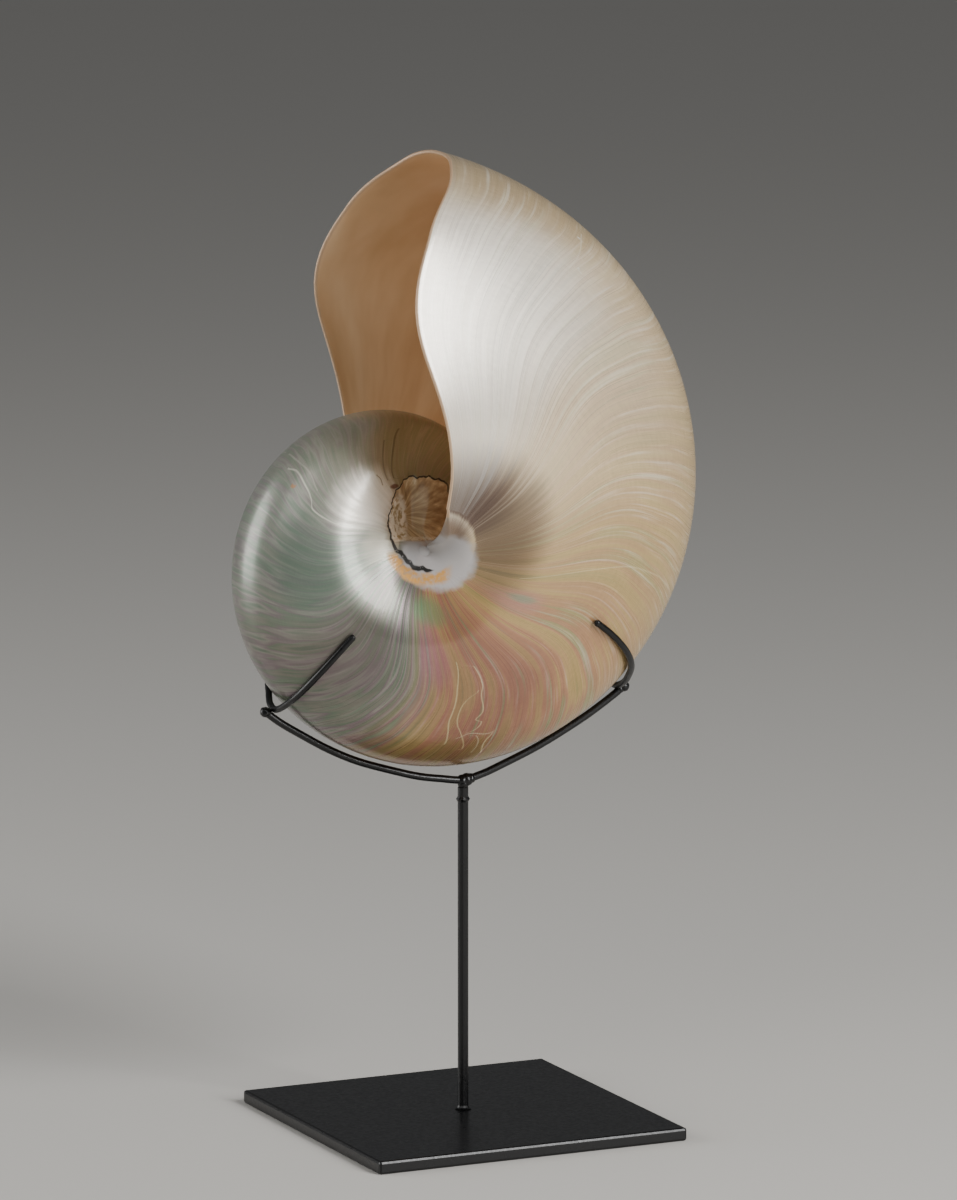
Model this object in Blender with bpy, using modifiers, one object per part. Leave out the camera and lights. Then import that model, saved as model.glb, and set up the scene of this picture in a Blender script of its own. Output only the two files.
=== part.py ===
# A polished nautilus shell resting in a wire cradle on a square steel base.
# Metres, +Z up. The origin is the middle of the base's underside.

import math

import bmesh
import bpy
import numpy as np

MM = 0.001
COLLECTION = "nautilus_on_stand"

# Stand
BASE_SIDE = 100.0 * MM
BASE_THICKNESS = 4.0 * MM
BASE_EDGE = 0.8 * MM
POST_RADIUS = 1.6 * MM
POST_TOP = 102.4 * MM
FOOT_FILLET = 0.9 * MM
COLLAR_RADIUS = 2.1 * MM
COLLAR_DROP = 4.0 * MM
COLLAR_HALF_HEIGHT = 0.8 * MM
POST_TOP_ROUND = 0.5 * MM
POST_TOP_SHARE = 0.7                 # of the radius left flat at the rounded top
FOOT_HOLLOW = 0.3                    # how hollow the weld fillet at the foot is
GAP = 0.3 * MM
SPINE_RADIUS = 1.15 * MM
CLAW_RADIUS = 1.0 * MM
BEAD_RADIUS = 2.5 * MM
END_BEAD_RADIUS = 1.7 * MM
BEAD_SHIFT = (1.5 * MM, 0.5 * MM)    # the weld on the post sits a little aside of the spine's lowest bend
BEAD_STRETCH = (1.3, 1.0, 0.75)
END_BEAD_DROP = 0.3 * MM
END_BEAD_STRETCH = (1.0, 1.0, 0.9)
STAND_TURN = math.radians(-5.0)      # the cradle and shell are turned a little on the base

# Spine: keel angle in degrees, and clearance from keel to wire centre in mm
SPINE_ROUTE = (
    (229.0, 5.6), (234.0, 4.6), (240.5, 3.3), (249.5, 2.5), (258.5, 2.3), (269.0, 2.7), (274.5, 3.6), (279.5, 4.4),
    (284.6, 5.6), (289.0, 5.1), (294.0, 4.1), (304.0, 3.2), (314.5, 3.6), (321.0, 4.6), (325.5, 5.6),
)
SPINE_AT_POST = 8                    # which point of the route is over the post
SPINE_SAMPLES = 3

# Claws: keel angle, angle gained by each tip, section fraction at each tip, keel clearance in mm
LEFT_CLAW = (231.0, -5.5, 0.359, 3.0)
RIGHT_CLAW = (325.0, 10.8, 0.317, 3.0)
CLAW_POINTS = 12
CLAW_REST_FROM = 0.10                # section fraction from which a claw lies on the flank

# Shell: a logarithmic spiral in the X-Z plane, about an axis along Y
AXIS_X = -19.3 * MM
AXIS_Z = 177.5 * MM
LIP_RADIUS = 115.2 * MM              # from the axis to the keel at the lip
LIP_ANGLE = math.radians(83.7)       # where the keel reaches the lip
GROWTH = 0.1785                      # the radius grows by exp(GROWTH * angle)
SHOULDER = 0.133                     # distance of the umbilical shoulder, in whorl radii
HALF_BREADTH = 0.42                  # half breadth at the shoulder, in whorl radii
FLANK_POWER = 2.47                   # superellipse power from keel to shoulder
FUNNEL_POWER = 1.6                   # superellipse power from shoulder to umbilicus
DISH = 0.10                          # how far the flank dips towards the shoulder
DISH_REACH = 0.42
UMBILICUS_RADIUS = 3.0 * MM
CALLUS_X = 2.5 * MM                  # the callus plugs the umbilicus, a little off the axis
CALLUS_Z = -3.5 * MM
CALLUS_HALF_BREADTH = 24.5 * MM
CALLUS_REACH = 15.0 * MM
CALLUS_BLEND = 2.0 * MM
WALL = 1.8 * MM
CHAMBER_ANGLE = math.radians(125.0)  # the living chamber runs this far back from the lip
SEPTUM_DEPTH = math.radians(14.0)

# How far a growth line leads the keel, in degrees, at fractions of the way to the axis
LEAD_AT = (0.0, 0.12, 0.24, 0.36, 0.48, 0.62, 0.80, 1.0)
LEAD = (0.0, 2.0, 8.5, 15.0, 7.4, 1.0, -36.0, -42.0)

# Both flanks sink towards the umbilicus, between these distances from the axis
FUNNEL_DEPTH = 3.2 * MM
FUNNEL_IN = 11.0 * MM
FUNNEL_OUT = 29.0 * MM

# The hollow beside the umbilicus, measured from the axis; callus fills its lower part
POCKET_X = 1.5 * MM
POCKET_Z = 8.0 * MM
POCKET_HALF_X = 10.5 * MM
POCKET_HALF_Z = 13.2 * MM
POCKET_POWER = 2.4                   # superellipse power of its rim
POCKET_DEPTH = 3.2 * MM
POCKET_SLOPE = 0.6                   # share of its half width over which it deepens
POCKET_RISE = math.radians(25.0)     # it comes in over this angle before the lip's own place
POCKET_KEEPS = math.radians(140.0)   # it keeps its depth over this angle, and then fades
POCKET_FADE = math.radians(60.0)
POCKET_CLEAR = 3.0 * MM              # it leaves this much round the axis alone
CALLUS_EDGE_LOW = 1.1 * MM           # height over which the callus ends
CALLUS_EDGE_HIGH = 5.1 * MM
UNDER_CALLUS = 0.12                  # share of the depth left where the callus fills it

ROWS = 60                            # around one full turn
FLANK_COLUMNS = 14                   # keel to shoulder, on each side
FUNNEL_COLUMNS = 5                   # shoulder to umbilicus
CHAMBER_ROWS = 20
SEPTUM_ROWS = 3

BLACK = (0.012, 0.012, 0.013)
PEARL = (0.78, 0.70, 0.62)


def smooth_step(x):
    """Rise from 0 to 1 with level ends."""
    x = min(max(x, 0.0), 1.0)
    return x * x * (3.0 - 2.0 * x)


def lead(s):
    """Angle by which a growth line runs ahead of its keel point."""
    slopes = []
    for i in range(len(LEAD) - 1):
        slopes.append((LEAD[i + 1] - LEAD[i]) / (LEAD_AT[i + 1] - LEAD_AT[i]))
    tangents = [0.0]
    for before, after in zip(slopes, slopes[1:]):
        same_way = before * after > 0.0
        tangents.append(2.0 * before * after / (before + after) if same_way else 0.0)
    tangents.append(0.0)
    i = 0
    while i < len(slopes) - 1 and s > LEAD_AT[i + 1]:
        i += 1
    span = LEAD_AT[i + 1] - LEAD_AT[i]
    t = (s - LEAD_AT[i]) / span
    value = (LEAD[i] * (1.0 + 2.0 * t) * (1.0 - t) ** 2
             + tangents[i] * span * t * (1.0 - t) ** 2
             + LEAD[i + 1] * t * t * (3.0 - 2.0 * t)
             + tangents[i + 1] * span * t * t * (t - 1.0))
    return math.radians(value)


def whorl_radius(angle):
    """Keel radius; the lip is at LIP_ANGLE on the second turn."""
    return LIP_RADIUS * math.exp(GROWTH * (angle - LIP_ANGLE - 2.0 * math.pi))


def callus(x, z):
    """Half breadth of the plug at a place measured from the axis."""
    reach = math.hypot(x - CALLUS_X, z - CALLUS_Z) / CALLUS_REACH
    return CALLUS_HALF_BREADTH * (1.0 - reach * reach)


def section(s, angle):
    """Distances from the axis and the mid-plane; s is 0 at the keel, 0.5 at the shoulder, 1 at the umbilicus."""
    radius = whorl_radius(angle)
    if s <= 0.5:
        t = max(s / 0.5, 1e-6) * math.pi / 2.0
        out = SHOULDER + (1.0 - SHOULDER) * max(math.cos(t), 0.0) ** (2.0 / FLANK_POWER)
        side = HALF_BREADTH * math.sin(t) ** (2.0 / FLANK_POWER)
        side *= 1.0 - DISH * max(1.0 - out / DISH_REACH, 0.0) ** 2 / (1.0 - SHOULDER / DISH_REACH) ** 2
        return out * radius, side * radius
    t = (s - 0.5) / 0.5 * math.pi / 2.0
    outer = SHOULDER * radius
    top = HALF_BREADTH * (1.0 - DISH) * radius
    inward = math.sin(t) ** (2.0 / FUNNEL_POWER)
    down = max(math.cos(t), 0.0) ** (2.0 / FUNNEL_POWER)
    out = UMBILICUS_RADIUS + (outer - UMBILICUS_RADIUS) * (1.0 - inward)
    plug = callus(UMBILICUS_RADIUS * math.cos(angle), UMBILICUS_RADIUS * math.sin(angle))
    side = plug + (top - plug) * down
    return out, side


def pocket(growth_angle, x, z, out):
    """Depth of the hollow beside the umbilicus, on the turn that comes out of the aperture."""
    past_lip = growth_angle - LIP_ANGLE
    fade = smooth_step(past_lip / POCKET_RISE + 1.0) * (1.0 - smooth_step((past_lip - POCKET_KEEPS) / POCKET_FADE))
    across = abs((x - POCKET_X) / POCKET_HALF_X) ** POCKET_POWER
    along = abs((z - POCKET_Z) / POCKET_HALF_Z) ** POCKET_POWER
    rim = (across + along) ** (1.0 / POCKET_POWER)
    above = smooth_step((z - CALLUS_EDGE_LOW) / (CALLUS_EDGE_HIGH - CALLUS_EDGE_LOW))
    share = UNDER_CALLUS + (1.0 - UNDER_CALLUS) * above
    at_callus = smooth_step((out - UMBILICUS_RADIUS) / POCKET_CLEAR)
    return POCKET_DEPTH * share * fade * at_callus * smooth_step((1.0 - rim) / POCKET_SLOPE)


def shell_point(growth_angle, s, side):
    """A point of the outer surface, in the shell's own plane; side is -1 near, +1 far."""
    angle = growth_angle + lead(s)
    out, breadth = section(s, angle)
    x = out * math.cos(angle)
    z = out * math.sin(angle)
    plug = callus(x, z)
    over = breadth - plug
    if s < 1.0:
        at_plug = smooth_step((out - UMBILICUS_RADIUS) / CALLUS_BLEND)
        breadth = 0.5 * (breadth + plug + math.sqrt(over * over + at_plug * CALLUS_BLEND ** 2))
    breadth -= pocket(growth_angle, x, z, out)
    breadth -= FUNNEL_DEPTH * (1.0 - smooth_step((math.hypot(x, z) - FUNNEL_IN) / (FUNNEL_OUT - FUNNEL_IN)))
    return np.array((AXIS_X + x, side * breadth, AXIS_Z + z))


def inward(growth_angle, s, side):
    """Unit normal of the outer surface, pointing into the whorl."""
    step = 1e-3
    low = max(s - step, 0.0)
    high = min(s + step, 0.999)
    if s < step:
        across = shell_point(growth_angle, step, 1) - shell_point(growth_angle, step, -1)
    else:
        across = shell_point(growth_angle, high, side) - shell_point(growth_angle, low, side)
    along = shell_point(growth_angle + step, s, side) - shell_point(growth_angle - step, s, side)
    normal = np.cross(along, across)
    normal /= np.linalg.norm(normal)
    angle = growth_angle + lead(s)
    middle = 0.5 * whorl_radius(angle)
    centre = np.array((AXIS_X + middle * math.cos(angle), 0.0, AXIS_Z + middle * math.sin(angle)))
    if np.dot(normal, centre - shell_point(growth_angle, s, side)) < 0.0:
        normal = -normal
    return normal


def flank_fractions():
    """Values of s from keel to shoulder, evenly spaced along the section."""
    fine = [0.5 * i / 400 for i in range(401)]
    points = [section(s, LIP_ANGLE) for s in fine]
    length = [0.0]
    for a, b in zip(points, points[1:]):
        length.append(length[-1] + math.dist(a, b))
    return [float(np.interp(length[-1] * i / FLANK_COLUMNS, length, fine)) for i in range(FLANK_COLUMNS + 1)]


def turned(point):
    """Turn a point of the shell's plane with the stand."""
    x, y, z = point
    c, s = math.cos(STAND_TURN), math.sin(STAND_TURN)
    return (x * c - y * s, x * s + y * c, z)


def finish_mesh(name, bm, material, smooth_angle, collection):
    bmesh.ops.recalc_face_normals(bm, faces=bm.faces)
    mesh = bpy.data.meshes.new(name)
    bm.to_mesh(mesh)
    bm.free()
    mesh.materials.append(material)
    mesh.shade_smooth()
    mesh.set_sharp_from_angle(angle=smooth_angle)
    item = bpy.data.objects.new(name, mesh)
    collection.objects.link(item)
    return item


def make_material(name, colour, roughness, metallic):
    material = bpy.data.materials.new(name)
    material.use_nodes = True
    shader = material.node_tree.nodes["Principled BSDF"]
    shader.inputs["Base Color"].default_value = (*colour, 1.0)
    shader.inputs["Roughness"].default_value = roughness
    shader.inputs["Metallic"].default_value = metallic
    return material


def build_shell(collection):
    """One closed solid: outer surface, lip, chamber wall, septum, chamber floor and umbilical plugs."""
    bm = bmesh.new()
    fractions = flank_fractions()
    for i in range(1, FUNNEL_COLUMNS + 1):
        fractions.append(0.5 + 0.5 * i / FUNNEL_COLUMNS)
    last = len(fractions) - 1
    corner = last - 2                 # the column where the chamber's wall meets its floor
    columns = range(-last, last + 1)
    lip_turn = LIP_ANGLE + 2.0 * math.pi

    def vertex(point):
        return bm.verts.new(turned(point))

    def on_surface(growth_angle, k):
        return vertex(shell_point(growth_angle, fractions[abs(k)], 1 if k > 0 else -1))

    outer = []
    for i in range(ROWS + 1):
        row = {}
        for k in columns:
            if i == ROWS and abs(k) == last:
                row[k] = outer[0][k]
            else:
                row[k] = on_surface(LIP_ANGLE + 2.0 * math.pi * i / ROWS, k)
        outer.append(row)

    inside = range(-corner, corner + 1)
    floor = [outer[0]]
    wall = []
    for a in range(CHAMBER_ROWS + 1):
        back = CHAMBER_ANGLE * a / CHAMBER_ROWS
        if a > 0:
            floor.append({k: on_surface(LIP_ANGLE - back, k) for k in inside})
        row = {}
        for k in inside:
            if abs(k) == corner:
                row[k] = floor[a][k]
                continue
            s = fractions[abs(k)]
            side = 1 if k > 0 else -1
            point = shell_point(lip_turn - back, s, side) + WALL * inward(lip_turn - back, s, side)
            seam = shell_point(LIP_ANGLE - back, fractions[corner], side)
            blend = smooth_step((s - 0.5) / (fractions[corner] - 0.5)) ** 2
            row[k] = vertex(point * (1.0 - blend) + seam * blend)
        wall.append(row)

    def quad(*corners):
        ring = []
        for corner_vertex in corners:
            if corner_vertex not in ring:
                ring.append(corner_vertex)
        if len(ring) > 2:
            bm.faces.new(ring)

    def join(row_a, row_b, keys):
        for k, after in zip(keys, list(keys)[1:]):
            quad(row_a[k], row_b[k], row_b[after], row_a[after])

    for row_a, row_b in zip(outer, outer[1:]):
        join(row_a, row_b, columns)
    rail = {k: wall[0][k] if abs(k) < corner else outer[0][k] for k in columns}
    join(outer[-1], rail, columns)
    for row_a, row_b in zip(wall, wall[1:]):
        join(row_a, row_b, inside)
    for row_a, row_b in zip(floor, floor[1:]):
        join(row_b, row_a, inside)

    previous = wall[-1]
    for b in range(1, SEPTUM_ROWS + 1):
        if b == SEPTUM_ROWS:
            row = floor[-1]
        else:
            row = {}
            for k in inside:
                if abs(k) == corner:
                    row[k] = floor[-1][k]
                    continue
                t = b / SEPTUM_ROWS
                bulge = 4.0 * t * (1.0 - t) * (1.0 - (k / corner) ** 2)
                mixed = np.array(wall[-1][k].co) * (1.0 - t) + np.array(floor[-1][k].co) * t
                back = -SEPTUM_DEPTH * bulge
                ax, az = turned((AXIS_X, 0.0, 0.0))[0], AXIS_Z
                dx, dz = mixed[0] - ax, mixed[2] - az
                c, s = math.cos(back), math.sin(back)
                row[k] = bm.verts.new((ax + dx * c - dz * s, mixed[1], az + dx * s + dz * c))
        join(previous, row, inside)
        previous = row

    for side in (-1, 1):
        ring = [row[side * last] for row in outer[:-1]]
        middle = vertex((AXIS_X, side * (callus(0.0, 0.0) - FUNNEL_DEPTH), AXIS_Z))
        for i in range(ROWS):
            bm.faces.new((ring[i], ring[(i + 1) % ROWS], middle))

    bmesh.ops.triangulate(bm, faces=bm.faces)
    pearl = make_material("polished_nacre", PEARL, 0.28, 0.0)
    finish_mesh("shell", bm, pearl, math.radians(50.0), collection)


def add_object(name, mesh, material, collection):
    mesh.materials.clear()
    mesh.materials.append(material)
    item = bpy.data.objects.new(name, mesh)
    collection.objects.link(item)
    return item


def build_base(material, collection):
    bm = bmesh.new()
    bmesh.ops.create_cube(bm, size=1.0)
    bmesh.ops.scale(bm, verts=bm.verts, vec=(BASE_SIDE, BASE_SIDE, BASE_THICKNESS))
    bmesh.ops.translate(bm, verts=bm.verts, vec=(0.0, 0.0, BASE_THICKNESS / 2.0))
    mesh = bpy.data.meshes.new("base_plate")
    bm.to_mesh(mesh)
    bm.free()
    plate = add_object("base_plate", mesh, material, collection)
    bevel = plate.modifiers.new("rounded edges", "BEVEL")
    bevel.width = BASE_EDGE
    bevel.segments = 2
    bevel.limit_method = "ANGLE"


def build_post(material, collection):
    """A turned rod with a weld fillet at its foot and a small collar near its top."""
    foot = BASE_THICKNESS + GAP
    collar = POST_TOP - COLLAR_DROP
    profile = [
        (0.0, POST_TOP),
        (POST_RADIUS * POST_TOP_SHARE, POST_TOP),
        (POST_RADIUS, POST_TOP - POST_TOP_ROUND),
        (POST_RADIUS, collar + COLLAR_HALF_HEIGHT),
        (COLLAR_RADIUS, collar),
        (POST_RADIUS, collar - COLLAR_HALF_HEIGHT),
        (POST_RADIUS, foot + FOOT_FILLET),
        (POST_RADIUS + FOOT_FILLET * FOOT_HOLLOW, foot + FOOT_FILLET * FOOT_HOLLOW),
        (POST_RADIUS + FOOT_FILLET, foot),
        (0.0, foot),
    ]
    mesh = bpy.data.meshes.new("post")
    edges = [(i, i + 1) for i in range(len(profile) - 1)]
    mesh.from_pydata([(x, 0.0, z) for x, z in profile], edges, [])
    post = add_object("post", mesh, material, collection)
    screw = post.modifiers.new("turned", "SCREW")
    screw.axis = "Z"
    screw.steps = 16
    screw.render_steps = 16
    screw.use_merge_vertices = True
    screw.merge_threshold = 0.00001
    screw.use_smooth_shade = True


def smooth_route(points, samples):
    """Points on a Catmull-Rom curve through the given ones."""
    points = [np.array(p) for p in points]
    ends = [2.0 * points[0] - points[1]] + points + [2.0 * points[-1] - points[-2]]
    route = []
    for i in range(1, len(ends) - 2):
        p0, p1, p2, p3 = ends[i - 1:i + 3]
        for j in range(samples):
            t = j / samples
            route.append(0.5 * (2.0 * p1 + (p2 - p0) * t + (2.0 * p0 - 5.0 * p1 + 4.0 * p2 - p3) * t * t
                                + (3.0 * p1 - p0 - 3.0 * p2 + p3) * t ** 3))
    route.append(points[-1])
    return route


def wire(name, route, radius, material, collection):
    """A round wire along a route in the shell's plane, made a mesh with closed ends."""
    curve = bpy.data.curves.new(name, "CURVE")
    curve.dimensions = "3D"
    curve.bevel_depth = radius
    curve.bevel_resolution = 2
    curve.use_fill_caps = True
    spline = curve.splines.new("POLY")
    spline.points.add(len(route) - 1)
    for place, point in zip(spline.points, route):
        place.co = (*turned(point), 1.0)
    guide = bpy.data.objects.new(name + "_route", curve)
    collection.objects.link(guide)
    bpy.context.view_layer.update()
    mesh = bpy.data.meshes.new_from_object(guide.evaluated_get(bpy.context.evaluated_depsgraph_get()))
    bpy.data.objects.remove(guide)
    bm = bmesh.new()
    bm.from_mesh(mesh)
    bmesh.ops.remove_doubles(bm, verts=bm.verts, dist=0.00001)
    bm.to_mesh(mesh)
    bm.free()
    mesh.name = name
    mesh.shade_smooth()
    mesh.set_sharp_from_angle(angle=math.radians(50.0))
    return add_object(name, mesh, material, collection)


def keel_point(angle_degrees, clearance):
    """A point outside the keel, in the shell's plane."""
    angle = math.radians(angle_degrees)
    reach = whorl_radius(angle) + clearance
    return (AXIS_X + reach * math.cos(angle), 0.0, AXIS_Z + reach * math.sin(angle))


def claw_route(keel_angle, gain, tip, keel_clearance):
    """Both arms of a claw, from the near tip under the keel to the far tip."""
    rest = CLAW_RADIUS + GAP
    route = []
    for k in range(-CLAW_POINTS, CLAW_POINTS + 1):
        share = abs(k) / CLAW_POINTS
        s = max(tip * share, 1e-4)
        side = 1 if k > 0 else -1
        angle = math.radians(keel_angle + gain * share)
        growth_angle = angle - lead(s)
        hug = smooth_step(s / CLAW_REST_FROM)
        clearance = keel_clearance * MM * (1.0 - hug) + rest * hug
        normal = inward(growth_angle, s, side)
        point = shell_point(growth_angle, s, side) - clearance * normal
        if k == 0:
            point[1] = 0.0
        route.append(point)
    return route


def add_bead(target, place, radius, stretch, cutters):
    """Fuse a weld bead to a wire."""
    bm = bmesh.new()
    bmesh.ops.create_uvsphere(bm, u_segments=12, v_segments=8, radius=radius)
    bmesh.ops.scale(bm, verts=bm.verts, vec=stretch)
    bmesh.ops.translate(bm, verts=bm.verts, vec=turned(place))
    mesh = bpy.data.meshes.new("bead")
    bm.to_mesh(mesh)
    bm.free()
    bead = bpy.data.objects.new("bead", mesh)
    cutters.objects.link(bead)
    bead.hide_render = True
    bead.display_type = "WIRE"
    union = target.modifiers.new("weld bead", "BOOLEAN")
    union.operation = "UNION"
    union.solver = "EXACT"
    union.object = bead


def build_cradle(material, collection, cutters):
    route = smooth_route([keel_point(a, c * MM) for a, c in SPINE_ROUTE], SPINE_SAMPLES)
    spine = wire("cradle_spine", route, SPINE_RADIUS, material, collection)
    angle, clearance = SPINE_ROUTE[SPINE_AT_POST]
    x, y, z = keel_point(angle, clearance * MM)
    place = (x + BEAD_SHIFT[0], y, z + BEAD_SHIFT[1])
    add_bead(spine, place, BEAD_RADIUS, BEAD_STRETCH, cutters)
    for angle, clearance in (SPINE_ROUTE[0], SPINE_ROUTE[-1]):
        place = keel_point(angle, clearance * MM + END_BEAD_DROP)
        add_bead(spine, place, END_BEAD_RADIUS, END_BEAD_STRETCH, cutters)
    wire("left_claw", claw_route(*LEFT_CLAW), CLAW_RADIUS, material, collection)
    wire("right_claw", claw_route(*RIGHT_CLAW), CLAW_RADIUS, material, collection)


def main():
    for item in list(bpy.data.objects):
        bpy.data.objects.remove(item)
    scene_root = bpy.context.scene.collection
    collection = bpy.data.collections.new(COLLECTION)
    cutters = bpy.data.collections.new("cutters")
    scene_root.children.link(collection)
    scene_root.children.link(cutters)
    black = make_material("black_painted_steel", BLACK, 0.35, 0.0)
    build_base(black, collection)
    build_post(black, collection)
    build_cradle(black, collection, cutters)
    build_shell(collection)


main()
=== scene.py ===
# A polished nautilus shell resting in a black wire cradle: its looks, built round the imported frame
import math
import bpy
import numpy as np
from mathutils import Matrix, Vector


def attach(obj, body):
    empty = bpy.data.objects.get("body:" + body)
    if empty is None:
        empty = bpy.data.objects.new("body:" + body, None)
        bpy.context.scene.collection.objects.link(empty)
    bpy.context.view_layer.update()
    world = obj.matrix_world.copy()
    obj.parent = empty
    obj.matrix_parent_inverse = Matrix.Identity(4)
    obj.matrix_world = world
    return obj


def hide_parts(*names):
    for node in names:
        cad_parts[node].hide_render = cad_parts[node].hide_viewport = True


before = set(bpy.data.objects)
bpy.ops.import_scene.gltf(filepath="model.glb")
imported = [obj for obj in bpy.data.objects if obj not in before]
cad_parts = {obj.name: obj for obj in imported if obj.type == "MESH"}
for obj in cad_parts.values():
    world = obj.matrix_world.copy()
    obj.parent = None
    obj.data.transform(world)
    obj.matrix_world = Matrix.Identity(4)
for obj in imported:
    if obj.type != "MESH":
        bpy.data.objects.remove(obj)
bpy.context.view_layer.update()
mm = 0.001
print("frame loaded", sorted(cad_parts))


# Small helpers

def hexColour(text, alpha=1.0):
    parts = [int(text[i:i + 2], 16) / 255.0 for i in (1, 3, 5)]
    return tuple(p / 12.92 if p <= 0.04045 else ((p + 0.055) / 1.055) ** 2.4 for p in parts) + (alpha,)


def add(tree, kind, inputs=None, **settings):
    made = tree.nodes.new(kind)
    for name, value in settings.items():
        setattr(made, name, value)
    for key, value in (inputs or {}).items():
        sockets = [s for s in made.inputs if s.enabled]
        socket = sockets[key] if isinstance(key, int) else next(s for s in sockets if s.name == key)
        if isinstance(value, Field):
            value = value.socket
        if isinstance(value, bpy.types.Node):
            value = socketOf(value)
        if isinstance(value, bpy.types.NodeSocket):
            tree.links.new(value, socket)
        else:
            socket.default_value = value
    return made


def socketOf(made):  # its first enabled output
    return next(s for s in made.outputs if s.enabled)


def sums(tree, operation, *parts):
    return add(tree, "ShaderNodeMath", dict(enumerate(parts)), operation=operation).outputs[0]


def spread(tree, value, low, high, to=(0.0, 1.0), smooth=True):
    ends = {"Value": value, "From Min": low, "From Max": high, "To Min": to[0], "To Max": to[1]}
    kind = "SMOOTHSTEP" if smooth else "LINEAR"
    return add(tree, "ShaderNodeMapRange", ends, interpolation_type=kind).outputs[0]


class Field:  # a value in a node tree, for plainly written formulas
    def __init__(self, tree, socket):
        self.tree, self.socket = tree, socket

    def op(self, operation, *others):
        return Field(self.tree, sums(self.tree, operation, self, *others))

    def __add__(self, other):
        return self.op("ADD", other)

    def __mul__(self, other):
        return self.op("MULTIPLY", other)

    def __sub__(self, other):
        return self.op("SUBTRACT", other)

    def __rsub__(self, other):
        return Field(self.tree, sums(self.tree, "SUBTRACT", other, self))

    def __truediv__(self, other):
        return self.op("DIVIDE", other)

    def __rtruediv__(self, other):
        return Field(self.tree, sums(self.tree, "DIVIDE", other, self))

    def __pow__(self, other):
        return self.op("POWER", other)

    __radd__, __rmul__ = __add__, __mul__

    def squared(self):
        return self.op("MULTIPLY", self)

    def clipped(self, low, high):
        return self.op("MAXIMUM", low).op("MINIMUM", high)

    def mixed(self, other, share):
        return self + (other - self) * share


def setStops(ramp, stops):  # stops are (place, hex colour or grey value)
    elements = ramp.color_ramp.elements
    while len(elements) < len(stops):
        elements.new(0.5)
    for element, (place, colour) in zip(elements, stops):
        element.position = place
        element.color = hexColour(colour) if isinstance(colour, str) else (colour, colour, colour, 1.0)
    return ramp


def newMaterial(name):
    material = bpy.data.materials.new(name)
    material.use_nodes = True
    tree = material.node_tree
    tree.nodes.clear()
    shader = tree.nodes.new("ShaderNodeBsdfPrincipled")
    out = tree.nodes.new("ShaderNodeOutputMaterial")
    tree.links.new(shader.outputs[0], out.inputs[0])
    return material, tree, shader


def finishPiece(piece, node):
    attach(piece, "root")
    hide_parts(node)


# The camera stands where the photograph's stood

camera = {
    "turn": 25.0,  # degrees round from the plate's front, to its left corner
    "away": 2.489,  # metres from the post, along the floor
    "right": 0.0046,
    "height": 0.6035,
    "down": 10.14,  # degrees below level
    "focalPixels": 8555.0,
    "framePixels": 1200.0,
    "sensor": 36.0,  # mm
    "sees": (0.05, 50.0),
}


def makeCamera():
    turn, down = math.radians(camera["turn"]), math.radians(camera["down"])
    right = Vector((math.cos(turn), -math.sin(turn), 0.0))
    level = Vector((math.sin(turn), math.cos(turn), 0.0))
    data = bpy.data.cameras.new("camera")
    data.sensor_width = camera["sensor"]
    data.lens = camera["focalPixels"] / camera["framePixels"] * camera["sensor"]
    data.clip_start, data.clip_end = camera["sees"]
    item = bpy.data.objects.new("camera", data)
    item.location = -camera["away"] * level + camera["right"] * right + Vector((0, 0, camera["height"]))
    aim = level * math.cos(down) - Vector((0, 0, math.sin(down)))
    item.rotation_euler = aim.to_track_quat("-Z", "Y").to_euler()
    bpy.context.scene.collection.objects.link(item)
    bpy.context.scene.camera = item


makeCamera()
print("camera placed")


# The shell: a logarithmic spiral in the X-Z plane with a superellipse section, shaped by Geometry Nodes

shell = {  # lengths in mm, angles in radians; each is an input of the tree
    "axisX": -19.3, "axisZ": 177.5, "standTurn": math.radians(-5.0),
    "lipRadius": 115.2, "lipAngle": math.radians(83.7), "growth": 0.1785,
    "shoulder": 0.133, "halfBreadth": 0.42,  # in radii of the whorl
    "flankPower": 2.47, "funnelPower": 1.6,  # of the section's two superellipses
    "dish": 0.10, "dishReach": 0.42,  # how far the flank dips towards the shoulder
    # the callus plugs the umbilicus, a little off the axis
    "umbilicus": 1.4, "callusX": 2.5, "callusZ": -3.5, "callusBreadth": 23.4, "callusReach": 15.0,
    "callusBlend": 4.0, "callusEdgeZ": 1.1, "callusEdgeHeight": 4.0, "callusKeeps": 0.12,
    "funnelDepth": 3.2, "funnelIn": 11.0, "funnelOut": 29.0,
    # the sunk pocket by the callus, and the degrees past the lip for its rise, full depth and fading
    "pocketX": 1.5, "pocketZ": 8.0, "pocketHalfX": 10.5, "pocketHalfZ": 13.2, "pocketPower": 2.4,
    "pocketStep": 0.7, "pocketStepSlope": 0.05, "pocketDepth": 3.2, "pocketSlope": 0.6, "pocketClear": 3.0,
    "pocketRise": 25.0, "pocketKeeps": 140.0, "pocketFade": 60.0,
    "lipWall": 1.1,
    "reliefHeight": 0.10, "reliefLines": 20.0, "reliefSeed": 5.0,
}
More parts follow.
